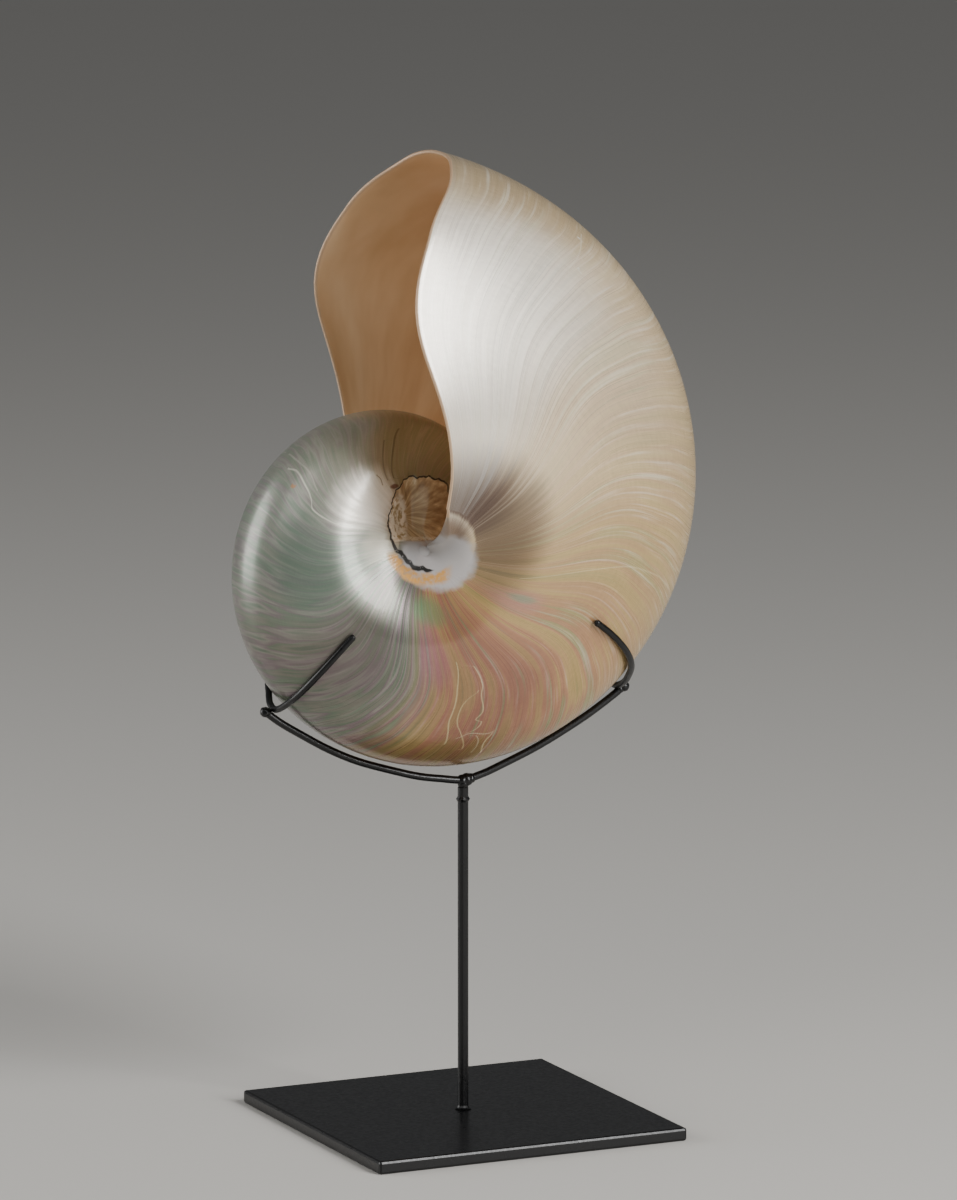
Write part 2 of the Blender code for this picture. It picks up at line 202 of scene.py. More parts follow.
shellGrid = {
    # a growth line's degrees ahead of the keel, and how they are scaled into the curve node
    "leadAt": (0.0, 0.12, 0.24, 0.36, 0.48, 0.62, 0.80, 1.0),
    "lead": (0.0, 2.0, 8.5, 15.0, 7.4, 1.0, -36.0, -42.0),
    "leadLow": -60.0, "leadSpan": 100.0, "leadKnots": 41,
    # the pocket's ragged rim: heights in shares of its half size, waves around it and their phases
    "ragged": ((0.030, 5.0, 1.0), (0.022, 11.0, 2.0), (0.014, 23.0, 0.0), (0.008, 41.0, 0.5)),
    "wall": 1.8, "lipTaper": math.radians(12.0), "chamber": math.radians(125.0),
    "septumDepth": math.radians(14.0),
    "rows": 400, "flankColumns": 40, "funnelColumns": 36, "cornerColumn": 22, "closeTo": 1.3,
    "chamberRows": 110, "septumRows": 8, "lipRows": 6, "plugRings": (1.25, 1.5, 1.75),
    "lipColumns": 46,  # the lip shows its chamber side on this many columns
    "underCallus": 0.4, "underFrom": (0.1, 0.15),  # the chamber's floor lies this much under the whorl
    "reliefEnds": 0.3, "reliefEdge": (0.62, 0.15),  # where the relief of growth fades out
}
vertexValues = ("angle", "growth", "across", "side", "thickness", "seam", "seamAcross", "turnOver",
                "septum", "septumTurn", "relief")
spentValues = vertexValues[3:] + ("angle", "inside", "lift", "rests", "bead")


def leadOf(s):  # in degrees, a smooth curve through the points of the table
    at, lead = np.array(shellGrid["leadAt"]), np.array(shellGrid["lead"])
    slopes = np.diff(lead) / np.diff(at)
    both = slopes[:-1] * slopes[1:]
    total = np.where(np.abs(slopes[:-1] + slopes[1:]) < 1e-9, 1.0, slopes[:-1] + slopes[1:])
    tangents = np.concatenate(([0.0], np.where(both > 0.0, 2.0 * both / total, 0.0), [0.0]))
    i = np.clip(np.searchsorted(at, s, side="left") - 1, 0, len(slopes) - 1)
    span = at[i + 1] - at[i]
    t = (s - at[i]) / span
    return (lead[i] * (1 + 2 * t) * (1 - t) ** 2 + tangents[i] * span * t * (1 - t) ** 2
            + lead[i + 1] * t * t * (3 - 2 * t) + tangents[i + 1] * span * t * t * (t - 1))


def smoothShare(field):
    return Field(field.tree, spread(field.tree, field, 0.0, 1.0))


def newTree(name, sizes, inputs, outputs):
    tree = bpy.data.node_groups.new(name, "GeometryNodeTree")
    for title, kind in inputs:
        tree.interface.new_socket(title, in_out="INPUT", socket_type="NodeSocket" + kind)
    for title, value in sizes.items():
        tree.interface.new_socket(title, in_out="INPUT", socket_type="NodeSocketFloat").default_value = value
    for title, kind in outputs:
        tree.interface.new_socket(title, in_out="OUTPUT", socket_type="NodeSocket" + kind)
    given = tree.nodes.new("NodeGroupInput")
    fields = {s.name: Field(tree, s) for s in given.outputs if s.name}
    return tree, fields, tree.nodes.new("NodeGroupOutput")


def callusHeight(size, x, z):
    away = (x - size["callusX"]).squared() + (z - size["callusZ"]).squared()
    return size["callusBreadth"] * (1.0 - away / size["callusReach"].squared())


def rimShare(size, x, z):  # 0 in the middle of the umbilical hollow, 1 on its ragged rim
    x, z = (x - size["pocketX"]) / size["pocketHalfX"], (z - size["pocketZ"]) / size["pocketHalfZ"]
    around = z.op("ARCTAN2", x)
    ragged = 0.0
    for height, waves, phase in shellGrid["ragged"]:
        ragged = (around * waves + phase).op("SINE") * height + ragged
    power = size["pocketPower"]
    return (x.op("ABSOLUTE") ** power + z.op("ABSOLUTE") ** power) ** (1.0 / power) + ragged


def shellPointTree():  # the shell's point at an angle of growth and a place across
    inputs = (("angle", "Float"), ("across", "Float"), ("side", "Float"))
    tree, size, result = newTree("shellPoint", shell, inputs, (("point", "Vector"),))
    across, ring = size["across"], size["umbilicus"]
    curve = add(tree, "ShaderNodeFloatCurve", {1: across.clipped(0.0, 1.0)})
    knots, low, span = curve.mapping.curves[0].points, shellGrid["leadLow"], shellGrid["leadSpan"]
    for place in np.linspace(0.0, 1.0, shellGrid["leadKnots"]):
        value = (float(leadOf(place)) - low) / span
        if place in (0.0, 1.0):
            knots[0 if place == 0.0 else -1].location = (place, value)
        else:
            knots.new(place, value)
    curve.mapping.update()
    angle = size["angle"] + (Field(tree, curve.outputs[0]) * span + low) * (math.pi / 180.0)
    radius = size["lipRadius"] * (size["growth"] * (angle - size["lipAngle"] - 2 * math.pi)).op("EXPONENT")

    t = (across * 2.0).clipped(1e-6, 1.0) * (math.pi / 2)
    power = 2.0 / size["flankPower"]
    flankOut = size["shoulder"] + (1.0 - size["shoulder"]) * t.op("COSINE").clipped(0.0, 1.0) ** power
    dip = (1.0 - flankOut / size["dishReach"]).clipped(0.0, 1.0)
    dip = dip / (1.0 - size["shoulder"] / size["dishReach"])
    flankSide = size["halfBreadth"] * t.op("SINE") ** power * (1.0 - size["dish"] * dip.squared())

    t = (across * 2.0 - 1.0).clipped(0.0, 1.0) * (math.pi / 2)
    power = 2.0 / size["funnelPower"]
    top = size["halfBreadth"] * (1.0 - size["dish"]) * radius
    funnelOut = ring + (size["shoulder"] * radius - ring) * (1.0 - t.op("SINE") ** power)
    funnelOut = funnelOut - ring * (across - 1.0).op("MAXIMUM", 0.0)
    plug = callusHeight(size, ring * angle.op("COSINE"), ring * angle.op("SINE"))
    funnelSide = plug + (top - plug) * t.op("COSINE").clipped(0.0, 1.0) ** power

    inFunnel = across.op("GREATER_THAN", 0.5)
    out = (flankOut * radius).mixed(funnelOut, inFunnel)
    breadth = (flankSide * radius).mixed(funnelSide, inFunnel)
    x, z = out * angle.op("COSINE"), out * angle.op("SINE")
    plug = callusHeight(size, x, z)
    over = (breadth - plug) * across.op("LESS_THAN", 0.9999)
    breadth = plug + (over + (over.squared() + size["callusBlend"].squared()).op("SQRT")) * 0.5

    inside = 1.0 - rimShare(size, x, z)
    aboveCallus = smoothShare((z - size["callusEdgeZ"]) / size["callusEdgeHeight"])
    aboveCallus = aboveCallus * (1.0 - size["callusKeeps"]) + size["callusKeeps"]
    sunk = aboveCallus * (size["pocketStep"] * smoothShare(inside / size["pocketStepSlope"])
                          + size["pocketDepth"] * smoothShare(inside / size["pocketSlope"]))
    pastLip = (size["angle"] - size["lipAngle"]) * (180.0 / math.pi)
    rise = smoothShare((pastLip + size["pocketRise"]) / size["pocketRise"])
    fade = rise * (1.0 - smoothShare((pastLip - size["pocketKeeps"]) / size["pocketFade"]))
    breadth = breadth - fade * smoothShare((out - ring) / size["pocketClear"]) * sunk
    toFunnel = (out - size["funnelIn"]) / (size["funnelOut"] - size["funnelIn"])
    breadth = breadth - size["funnelDepth"] * (1.0 - smoothShare(toFunnel))
    point = add(tree, "ShaderNodeCombineXYZ", {0: x, 1: size["side"] * breadth, 2: z})
    tree.links.new(point.outputs[0], result.inputs[0])
    return tree


def vectorMaker(tree):
    def vector(operation, *parts, scale=None):
        links = dict(enumerate(parts))
        if scale is not None:
            links["Scale"] = scale
        return socketOf(add(tree, "ShaderNodeVectorMath", links, operation=operation))
    return vector


def onShell(tree, size, pointTree, angle, across, side):  # a place on the shell, and its directions
    vector, step = vectorMaker(tree), 1e-3

    def at(angle, across):
        links = {name: size[name] for name in shell}
        links.update(angle=angle, across=across, side=side)
        return add(tree, "GeometryNodeGroup", links, node_tree=pointTree).outputs[0]

    ahead = vector("NORMALIZE", vector("SUBTRACT", at(angle + step, across), at(angle - step, across)))
    widthways = vector("SUBTRACT", at(angle, (across + step).op("MINIMUM", 1.0 - step)),
                       at(angle, (across - step).op("MAXIMUM", 0.0)))
    inward = vector("SCALE", vector("NORMALIZE", vector("CROSS_PRODUCT", ahead, widthways)), scale=side)
    return at, at(angle, across), ahead, inward


def standing(tree, size, place):  # from the shell's plane in mm to the frame in metres
    vector = vectorMaker(tree)
    axis = add(tree, "ShaderNodeCombineXYZ", {0: size["axisX"], 2: size["axisZ"]})
    place = vector("ADD", place, axis)
    turned = add(tree, "ShaderNodeVectorRotate", {"Vector": place, "Angle": size["standTurn"]},
                 rotation_type="Z_AXIS").outputs[0]
    return vector("SCALE", turned, scale=mm)


def namedValues(tree, names):
    return {name: Field(tree, add(tree, "GeometryNodeInputNamedAttribute", {"Name": name},
                                  data_type="FLOAT").outputs["Attribute"]) for name in names}


def shellTree(pointTree):  # shapes the flat grid and stores what the shaders read
    inputs = (("grid", "Geometry"), ("outerNacre", "Material"), ("chamberNacre", "Material"))
    tree, size, result = newTree("nautilusShell", shell, inputs, (("shell", "Geometry"),))
    value = namedValues(tree, vertexValues)
    vector = vectorMaker(tree)

    def between(first, second, share):
        return vector("ADD", first, vector("SCALE", vector("SUBTRACT", second, first), scale=share))

    angle, across = value["angle"], value["across"]
    at, here, ahead, inward = onShell(tree, size, pointTree, angle, across, value["side"])
    inner = vector("ADD", here, vector("SCALE", inward, scale=value["thickness"]))
    older = angle - 2 * math.pi
    low = between(inner, at(older, value["seamAcross"]), value["seam"])
    half = vector("SCALE", vector("SUBTRACT", here, low), scale=0.5)
    length = Field(tree, add(tree, "ShaderNodeVectorMath", {0: half}, operation="LENGTH").outputs["Value"])
    bulge = length.op("MINIMUM", size["lipWall"] * 0.5) * value["turnOver"].op("SINE")
    rounded = vector("SUBTRACT", here, vector("SCALE", half, scale=1.0 - value["turnOver"].op("COSINE")))
    rounded = vector("ADD", rounded, vector("SCALE", ahead, scale=bulge))
    place = between(rounded, at(older, across), value["septum"])
    place = add(tree, "ShaderNodeVectorRotate", {"Vector": place, "Angle": 0.0 - value["septumTurn"]},
                rotation_type="Y_AXIS").outputs[0]
    waves = add(tree, "ShaderNodeCombineXYZ", {0: value["growth"] * size["reliefLines"], 1: across * 2.0,
                                               2: size["reliefSeed"]})
    waves = add(tree, "ShaderNodeTexNoise", {"Vector": waves, "Detail": 2.0, "Scale": 1.0})
    height = Field(tree, waves.outputs[0]) * value["relief"] * size["reliefHeight"]
    place = vector("ADD", place, vector("SCALE", inward, scale=height))

    parts = add(tree, "ShaderNodeSeparateXYZ", {0: place})
    rim = rimShare(size, Field(tree, parts.outputs[0]), Field(tree, parts.outputs[2]))
    made = add(tree, "GeometryNodeSetPosition", {"Geometry": size["grid"],
                                                 "Position": standing(tree, size, place)})
    for name, kind, field in (("plane", "FLOAT_VECTOR", place), ("rim", "FLOAT", rim)):
        made = add(tree, "GeometryNodeStoreNamedAttribute", {"Geometry": made, "Name": name, "Value": field},
                   data_type=kind, domain="POINT")
    made = add(tree, "GeometryNodeSetShadeSmooth", {"Geometry": made})
    made = add(tree, "GeometryNodeRealizeInstances", {"Geometry": made})
    inside = add(tree, "GeometryNodeInputNamedAttribute", {"Name": "inside"}, data_type="BOOLEAN")
    made = add(tree, "GeometryNodeSetMaterial", {"Geometry": made, "Material": size["outerNacre"]})
    made = add(tree, "GeometryNodeSetMaterial", {"Geometry": made, "Selection": inside.outputs["Attribute"],
                                                 "Material": size["chamberNacre"]})
    tree.links.new(made.outputs[0], result.inputs[0])
    return tree


def makeGrid():  # the shell unrolled: rows of growth, columns from flank to flank
    grid = shellGrid
    flank = 0.5 * (1 - (1 - np.linspace(0, 1, grid["flankColumns"] + 1)) ** grid["closeTo"])
    funnel = 0.5 + 0.5 * np.arange(1, grid["funnelColumns"] + 1) / grid["funnelColumns"]
    fractions = np.concatenate((flank, funnel))
    last = len(fractions) - 1
    corner = grid["flankColumns"] + grid["cornerColumn"]
    columns = np.arange(-last, last + 1)
    lip, turn = shell["lipAngle"], 2 * math.pi
    blocks, quads, zoneOfFace = [], [], []

    def smooth(x):
        x = np.clip(x, 0.0, 1.0)
        return x * x * (3.0 - 2.0 * x)

    def store(keys, angle, **values):
        s = np.abs(fractions[np.abs(keys)])
        values = {"angle": angle, "growth": 0.0, "across": s, "side": np.where(keys > 0, 1.0, -1.0),
                  "seamAcross": s, **values}
        every = [np.broadcast_to(values.get(name, 0.0), keys.shape) for name in vertexValues]
        first = sum(len(b) for b in blocks)
        blocks.append(np.stack(every, axis=1))
        return np.arange(first, first + len(keys))

    def seamed(keys):  # the chamber's wall runs into the whorl before it at the corner
        s = fractions[np.minimum(np.abs(keys), corner)]
        seam = np.where(np.abs(keys) >= corner, 1.0, smooth((s - 0.5) / (fractions[corner] - 0.5)) ** 2)
        return {"seam": seam, "seamAcross": fractions[np.maximum(np.abs(keys), corner)]}

    outer = []
    for i in range(grid["rows"]):
        back = turn * (1 - i / grid["rows"])
        fade = smooth(back / grid["reliefEnds"]) * smooth((turn - back) / grid["reliefEnds"])
        fade = fade * smooth((grid["reliefEdge"][0] - fractions[np.abs(columns)]) / grid["reliefEdge"][1])
        outer.append(store(columns, lip + turn - back, growth=back, relief=fade))
    ids = store(columns[1:-1], lip + turn)
    outer.append(np.concatenate((outer[0][:1], ids, outer[0][-1:])))
    inside = np.arange(-corner, corner + 1)
    inner = inside[1:-1]
    floor, wall = [outer[0][inside + last]], []
    for a in range(grid["chamberRows"] + 1):
        back = grid["chamber"] * a / grid["chamberRows"]
        if a > 0:
            under = grid["underCallus"] * smooth((fractions[np.abs(inside)] - 0.5) / grid["underFrom"][0])
            under = under * smooth(back / grid["underFrom"][1])
            floor.append(store(inside, lip - back, growth=turn + back, thickness=under, turnOver=math.pi))
        thick = shell["lipWall"] + (grid["wall"] - shell["lipWall"]) * smooth(back / grid["lipTaper"])
        ids = store(inner, lip + turn - back, growth=back, thickness=thick, turnOver=math.pi, **seamed(inner))
        wall.append(np.concatenate((floor[a][:1], ids, floor[a][-1:])))
    rail = outer[0].copy()
    rail[inside + last] = wall[0]
    lipRows = [outer[-1]]
    for i in range(1, grid["lipRows"]):
        ids = store(columns[1:-1], lip + turn, thickness=shell["lipWall"],
                    turnOver=math.pi * i / grid["lipRows"], **seamed(columns[1:-1]))
        lipRows.append(np.concatenate((outer[0][:1], ids, outer[0][-1:])))
    lipRows.append(rail)
    septum = [wall[-1]]
    for b in range(1, grid["septumRows"]):
        t = b / grid["septumRows"]
        bulge = 4 * t * (1 - t) * (1 - (inner / corner) ** 2)
        ids = store(inner, lip + turn - grid["chamber"], growth=grid["chamber"], thickness=grid["wall"],
                    turnOver=math.pi, septum=t, septumTurn=-grid["septumDepth"] * bulge, **seamed(inner))
        septum.append(np.concatenate((floor[-1][:1], ids, floor[-1][-1:])))
    septum.append(floor[-1])

    overMouth = (columns[:-1] >= -grid["lipColumns"]) & (columns[:-1] < grid["lipColumns"])
    for rows, zone in ((outer, 0), (lipRows, overMouth), (wall, 1), (floor[::-1], 0), (septum, 1)):
        rows = np.array(rows)
        corners = (rows[:-1, :-1], rows[1:, :-1], rows[1:, 1:], rows[:-1, 1:])
        quads += np.stack(corners, axis=-1).reshape(-1, 4).tolist()
        zoneOfFace += np.broadcast_to(zone, corners[0].shape).ravel().tolist()
    faces = [tuple(dict.fromkeys(q)) for q in quads]
    zones = [k for k, face in zip(zoneOfFace, faces) if len(face) > 2]
    faces = [face for face in faces if len(face) > 2]
    for end, key in ((0, -last), (-1, last)):
        ring = [row[end] for row in outer[:-1]]
        angles = lip + turn * np.arange(len(ring)) / len(ring)
        for level in grid["plugRings"]:
            inward = store(np.full(len(ring), key), angles, growth=turn, across=level).tolist()
            for a, b, c, d in zip(ring, ring[1:] + ring[:1], inward[1:] + inward[:1], inward):
                faces.append((b, a, d, c) if end == 0 else (a, b, c, d))
                zones.append(0)
            ring = inward
        tip = store(np.array([key]), lip, growth=turn, across=2.0)[0]
        for first, second in zip(ring, ring[1:] + ring[:1]):
            faces.append((second, first, tip) if end == 0 else (first, second, tip))
            zones.append(0)
    table = np.concatenate(blocks)
    mesh = bpy.data.meshes.new("nautilusShell")
    flat = np.stack((table[:, 0], table[:, 2] * table[:, 3], table[:, 7]), axis=1)
    mesh.from_pydata(flat.tolist(), [], faces)
    for i, name in enumerate(vertexValues):
        mesh.attributes.new(name, "FLOAT", "POINT").data.foreach_set("value", table[:, i].copy())
    mesh.attributes.new("inside", "BOOLEAN", "FACE").data.foreach_set("value", np.array(zones, dtype=bool))
    return mesh


def shapedPiece(name, mesh, tree, values):  # runs a Geometry Nodes tree and keeps its result as a plain mesh
    source = bpy.data.objects.new(name, mesh)
    bpy.context.scene.collection.objects.link(source)
    modifier = source.modifiers.new(name, "NODES")
    modifier.node_group = tree
    for item in tree.interface.items_tree:
        if item.in_out == "INPUT" and item.name in values:
            modifier[item.identifier] = values[item.name]
    evaluated = source.evaluated_get(bpy.context.evaluated_depsgraph_get())
    result = bpy.data.meshes.new_from_object(evaluated)
    source.modifiers.remove(modifier)
    source.data = result
    result.name = name
    for spent in [a.name for a in result.attributes if a.name in spentValues]:
        result.attributes.remove(result.attributes[spent])
    return source


def signedVolume(mesh):
    mesh.calc_loop_triangles()
    co = np.empty(len(mesh.vertices) * 3)
    mesh.vertices.foreach_get("co", co)
    tri = np.empty(len(mesh.loop_triangles) * 3, dtype=np.int32)
    mesh.loop_triangles.foreach_get("vertices", tri)
    a, b, c = co.reshape(-1, 3)[tri.reshape(-1, 3)].transpose(1, 0, 2)
    return float(np.sum(a * np.cross(b, c)) / 6.0), len(tri) // 3


# Nacre: aragonite platelets polished by hand, seen as a pearl gloss with thin-film colours that follow
# the growth lines

nacre = {
    "roughness": (0.24, 0.34), "coat": 0.30, "coatRoughness": 0.10, "ior": 1.6,
    "bump": 0.05, "bumpDepth": 0.05,
    "bareRoughness": 0.18,
    "olderRoughness": (200.0, 250.0, (0.0, 0.07)),  # the older whorl is less well polished
    # noises: waves to a radian of growth and to the width from keel to umbilicus, detail, seed and roughness
    "fineLines": (110.0, 1.6, 4.0, 1.0, 0.6),  # growth lines 0.6 to 1.3 mm apart
    "bandLines": (22.0, 1.3, 4.0, 7.0, 0.6),  # coloured bands of 3 to 5 mm
    "broadBands": (3.0, 5.0, 2.0, 13.0, 0.55),
    "veils": (13.0, 3.0, 2.0, 19.0, 0.5),  # soft green and pink on the older whorl, 5 to 9 mm
    "spiralLines": (3.0, 170.0, 2.0, 23.0, 0.55),  # faint ridges along the coil
    "wisps": (64.0, 9.0, 3.0, 41.0, 0.6),  # broken silky streaks
    "wrinkles": (20.0, 190.0, 2.0, 31.0, 0.6),  # wavy lines along the coil
    "bandShare": 0.62, "veilShare": 0.84,  # of the hue; wider bands give the rest
    "coolFrom": (178.0, 205.0),  # degrees where cool tints take over from warm ones
    "quietHollow": (0.36, 0.47, (1.0, 0.20)),  # where the lines fade
    "quietWhorl": (180.0, 215.0, (1.0, 0.5)),
    "lineShade": (-0.07, 0.04), "wrinkleShade": 0.30, "spiralRelief": 0.35,
    "pale": "#fdf7ea", "paleShare": (90.0, 200.0, (0.50, 0.14)),
    # colours and amounts at degrees of growth back from the lip
    "body": ((0, "#ded2ba"), (30, "#dbccb0"), (60, "#d6c29f"), (90, "#bca473"), (120, "#a98f61"),
             # from 190 to 235 degrees the body is darker than the older whorl's own tone: painted shade on
             # the flank that turns from the light
             (150, "#967c58"), (182, "#7c694e"), (190, "#5a4b40"), (215, "#50463c"), (235, "#62594e"),
             # from 345 degrees on the body turns olive brown: painted shade under the lip, running on into
             # the chamber's floor
             (260, "#85887e"), (290, "#9da094"), (333, "#b8b09b"), (345, "#9a8a66"), (353, "#8c7c56")),
    "metallic": ((0, 0.28), (120, 0.32), (190, 0.40), (240, 0.48), (300, 0.40), (330, 0.30), (360, 0.30)),
    "tintShare": ((0, 0.10), (60, 0.12), (95, 0.18), (120, 0.30), (145, 0.50), (180, 0.65), (230, 0.45),
                  (300, 0.45), (350, 0.25)),
    "warmTints": ((0.30, "#7fa068"), (0.38, "#c3a85f"), (0.44, "#dcb773"), (0.49, "#c98268"),
                  (0.54, "#b3705f"), (0.59, "#7f9f6c"), (0.65, "#cfae6a"), (0.72, "#d2958a"),
                  (0.78, "#dcc9a2")),
    "coolTints": ((0.30, "#4f7a5f"), (0.40, "#8f8d80"), (0.46, "#6f8a70"), (0.50, "#8a7680"),
                  (0.55, "#a5a398"), (0.61, "#5f8268"), (0.68, "#826f78"), (0.76, "#b8b6ac")),
    # patches: middle (degrees of growth, across), half sizes, colour, share
    "patchWave": 1.2,
    "widthInDegrees": 133.0,  # from keel to umbilicus, in degrees of growth as long
    "patches": (
        (183.0, 0.470, 17.0, 0.021, "#639567", 0.62), (186.0, 0.405, 9.0, 0.060, "#a0637f", 0.45),
        (122.0, 0.440, 3.0, 0.020, "#4f9a70", 0.70), (124.0, 0.445, 9.0, 0.040, "#b07a80", 0.40),
        (70.0, 0.482, 60.0, 0.050, "#644f3c", 0.78), (22.0, 0.506, 46.0, 0.056, "#574136", 0.95),
        # the olive brown patch at 350 degrees, across 0.25, is painted shade under the lip
        (26.0, 0.680, 60.0, 0.140, "#7f6a5e", 0.85), (350.0, 0.250, 13.0, 0.200, "#8a7c58", 0.50),
        # the pale patches at 320 and 285 degrees are painted highlights on the older whorl's shoulder by the
        # umbilicus
        (320.0, 0.395, 29.0, 0.115, "#f6f0e3", 0.90), (285.0, 0.470, 26.0, 0.040, "#ded8c6", 0.60),
        (272.0, 0.300, 26.0, 0.120, "#5c7263", 0.60), (165.0, 0.330, 27.0, 0.190, "#764b3e", 0.58),
        # the dark patch at 225 degrees is painted shade on the older whorl's lower flank; the near white
        # patch at 12 degrees is cream nacre whitened as a painted highlight on the flank by the lip
        (225.0, 0.330, 24.0, 0.150, "#5b514c", 0.50), (12.0, 0.330, 34.0, 0.170, "#f6f2e8", 0.65),
        (10.0, 0.060, 24.0, 0.130, "#a98f63", 0.70), (60.0, 0.020, 55.0, 0.200, "#cfb484", 0.60),
        (105.0, 0.050, 40.0, 0.200, "#c3a878", 0.50), (165.0, 0.080, 30.0, 0.150, "#76643e", 0.60)),
}

# healed scars and bold growth marks, each one line: half width in mm, colour, share, relief, mm to a degree,
# and its points as (across, degrees of growth), or (degrees, across) for one that crosses the growth lines
scars = (
    (0.42, "#d6c494", 0.60, 1.60, 1.2, "across", ((0.20, 173.5), (0.24, 175.0), (0.28, 177.2),
        (0.34, 177.5), (0.40, 175.0))),
    (0.38, "#d2bd8c", 0.60, 1.60, 1.2, "across", ((0.18, 167.0), (0.24, 171.0), (0.27, 174.0),
        (0.30, 175.0), (0.325, 173.0), (0.34, 169.0))),
    (0.40, "#d6c494", 0.60, 1.60, 1.2, "across", ((0.236, 171.0), (0.243, 167.5), (0.265, 165.8),
        (0.273, 168.2), (0.29, 166.6), (0.33, 168.0), (0.35, 167.2), (0.39, 168.0))),
    (0.32, "#d8c4a2", 0.55, 1.28, 1.2, "growth", ((159.5, 0.24), (162.0, 0.226), (168.0, 0.236),
        (172.0, 0.222))),
    (0.38, "#dfca9f", 0.65, 1.60, 1.2, "across", ((0.15, 160.0), (0.20, 161.6), (0.228, 160.6))),
    (0.35, "#d8c4a2", 0.55, 0.96, 1.2, "across", ((0.16, 163.0), (0.23, 166.2))),
    (0.45, "#dccb9e", 0.45, 0.0, 1.5, "across", ((0.15, 98.8), (0.23, 100.0), (0.29, 102.0),
        (0.35, 105.5), (0.46, 110.0))),
    (0.35, "#efe4cc", 0.45, 0.0, 1.7, "across", ((0.10, 24.0), (0.17, 26.0), (0.22, 28.0))),
    (0.80, "#f6f1e4", 0.85, 0.0, 1.7, "across", ((0.121, 23.8), (0.128, 24.3))),
    (0.60, "#f1ead9", 0.75, 0.0, 1.7, "across", ((0.190, 27.9), (0.199, 28.3))),
    (0.40, "#c9c6b6", 0.50, 0.0, 0.8, "across", ((0.01, 302.0), (0.12, 303.0), (0.20, 305.0),
        (0.25, 304.0))),
    (0.45, "#dddbca", 0.75, 0.0, 0.8, "across", ((0.08, 298.0), (0.13, 300.0), (0.20, 300.5),
        (0.25, 299.0), (0.27, 296.5), (0.32, 297.5), (0.36, 298.5))),
    (0.90, "#c98a4e", 0.65, 0.0, 0.8, "across", ((0.152, 295.2), (0.172, 296.6))),
    (0.55, "#4a3c26", 0.55, 0.0, 0.7, "across", ((0.17, 351.5), (0.30, 350.0), (0.37, 349.0))),
    (0.50, "#4a3c26", 0.45, 0.0, 0.7, "across", ((0.22, 345.0), (0.37, 344.0))),
    (0.45, "#6a5836", 0.65, 0.0, 0.7, "across", ((0.335, 338.0), (0.355, 339.5), (0.375, 338.5))),
)

umbilicus = {  # lengths in mm from the shell's axis
    "callus": "#b7b4b4", "crust": "#d59a44", "rimLine": "#15120e", "border": "#d9cbb2", "stain": "#5e2a16",
    # the pearl colour is near white: pearly nacre on the hollow's left wall, whitened as a painted highlight
    "pearl": "#fffdf2", "foil": "#b9a67c",
    "silk": ((0.30, "#8d7152"), (0.48, "#ad9370"), (0.62, "#c6b08a"), (0.75, "#e6d7b4")),
    "silkX": -3.6, "silkZ": 8.6,  # the lining's fibres fan out from here
    "silkFibres": 7.0, "silkRings": 0.012,
    # ovals: middle, half sizes and raggedness
    "callusOval": (3.2, -2.6, 9.4, 8.8, 0.30), "crustOval": (0.0, 1.0, 1.0, 1.0, 2.2),
    # the pearl oval is a painted highlight: the left wall of the hollow, whitened
    "pearlOval": (-6.2, 8.2, 4.6, 7.5, 0.4), "stainOval": (-7.4, 18.6, 1.6, 0.9, 0.8),
    "borderZ": 2.9, "lineAt": 0.985, "lineHalf": (0.030, 0.080),
    "older": (140.0, 165.0),  # degrees of growth, because the hollow is behind the lip
}


def mixColour(tree, share, a, b, blend="MIX"):
    a, b = [hexColour(v) if isinstance(v, str) else v for v in (a, b)]
    return socketOf(add(tree, "ShaderNodeMix", {"Factor": share, "A": a, "B": b}, data_type="RGBA",
                        blend_type=blend))


def stops(tree, value, pairs):
    return setStops(add(tree, "ShaderNodeValToRGB", {"Fac": value}), pairs).outputs[0]


def growthCoordinates(tree):  # degrees back from the lip, and the place across
    growth = add(tree, "ShaderNodeAttribute", attribute_name="growth").outputs["Fac"]
    growth = sums(tree, "MULTIPLY", growth, 180.0 / math.pi)
    return growth, add(tree, "ShaderNodeAttribute", attribute_name="across").outputs["Fac"]


def growthNoise(tree, growth, across, perRadian, alongLine, detail, seed, rough):
    along = sums(tree, "MULTIPLY", growth, perRadian * math.pi / 180.0)
    over = sums(tree, "MULTIPLY", across, alongLine)
    vector = add(tree, "ShaderNodeCombineXYZ", {0: along, 1: over, 2: seed})
    return add(tree, "ShaderNodeTexNoise", {"Vector": vector, "Scale": 1.0, "Detail": detail,
                                            "Roughness": rough}).outputs[0]


def patchMask(tree, growth, across, wave, place):
    alongGrowth = sums(tree, "DIVIDE", sums(tree, "SUBTRACT", growth, place[0]), place[2])
    alongWidth = sums(tree, "DIVIDE", sums(tree, "SUBTRACT", across, place[1]), place[3])
    square = sums(tree, "ADD", sums(tree, "MULTIPLY", alongGrowth, alongGrowth),
                  sums(tree, "MULTIPLY", alongWidth, alongWidth))
    return spread(tree, sums(tree, "ADD", square, wave), 1.3, 0.0)


